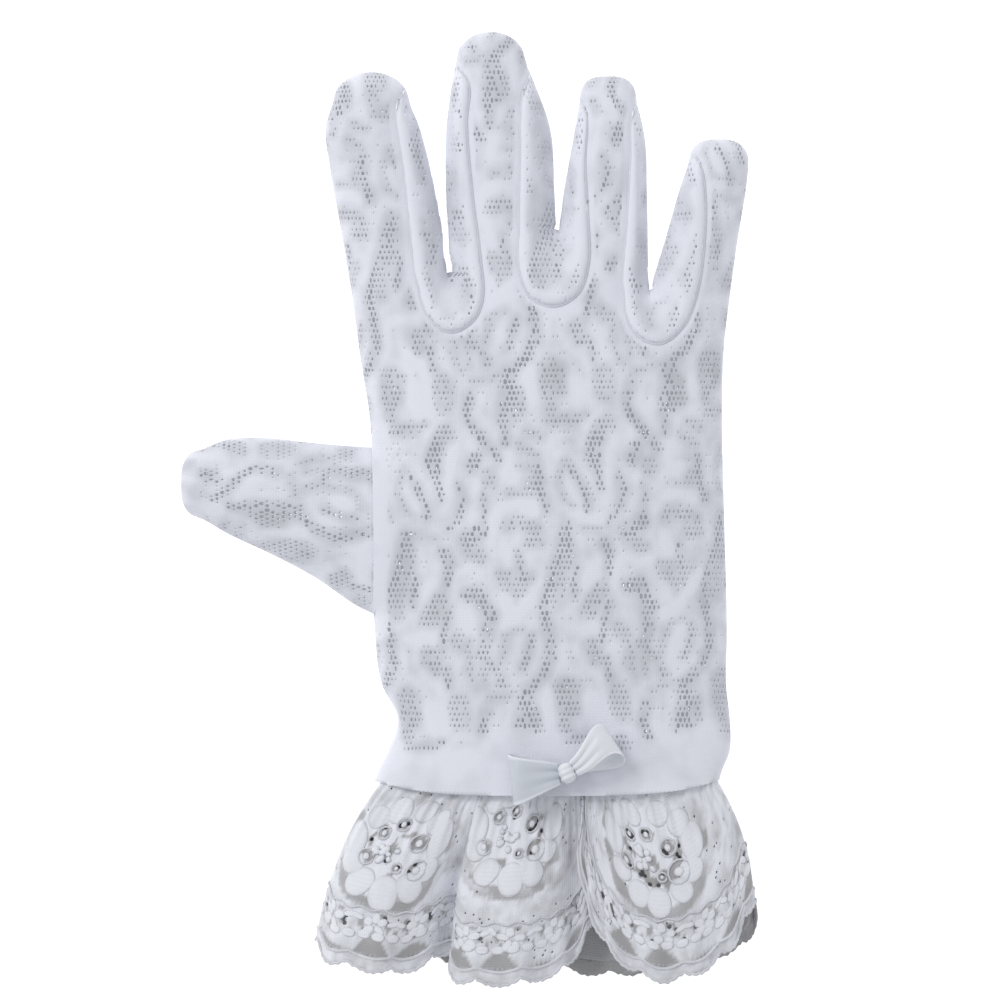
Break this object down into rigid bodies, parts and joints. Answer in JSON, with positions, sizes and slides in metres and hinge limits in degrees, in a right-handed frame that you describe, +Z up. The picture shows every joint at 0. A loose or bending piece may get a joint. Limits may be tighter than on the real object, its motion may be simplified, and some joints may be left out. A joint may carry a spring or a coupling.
{
  "type": "lace dress glove",
  "caption": "White lace glove for the right hand, with fourchettes, an inset thumb, a gathered scalloped lace cuff and a small ribbon bow, lying palm down.",
  "frame": {"origin": "centre of the bounding box's underside, on the surface that the glove lies on", "axes": "+Z up out of the back of the hand, +Y from the cuff to the fingertips, +X towards the little finger, the thumb towards -X"},
  "size_m": [0.1386, 0.2276, 0.0175],
  "materials": {
    "hand_lace": "white stretch lace with an open net ground and solid scroll and leaf motifs",
    "cuff_lace": "white edging lace on fine net, with flower motifs and a corded scalloped border",
    "satin_ribbon": "white satin ribbon with woven edges, soft sheen"
  },
  "bodies": {
    "root": {"glove_back": "hand_lace", "glove_palm": "hand_lace", "fourchette_index_middle": "hand_lace", "fourchette_middle_ring": "hand_lace", "fourchette_ring_little": "hand_lace", "thumb": "hand_lace", "cuff_ruffle": "cuff_lace", "bow_loop_left": "satin_ribbon", "bow_loop_right": "satin_ribbon", "bow_knot": "satin_ribbon"}
  },
  "joints": []
}
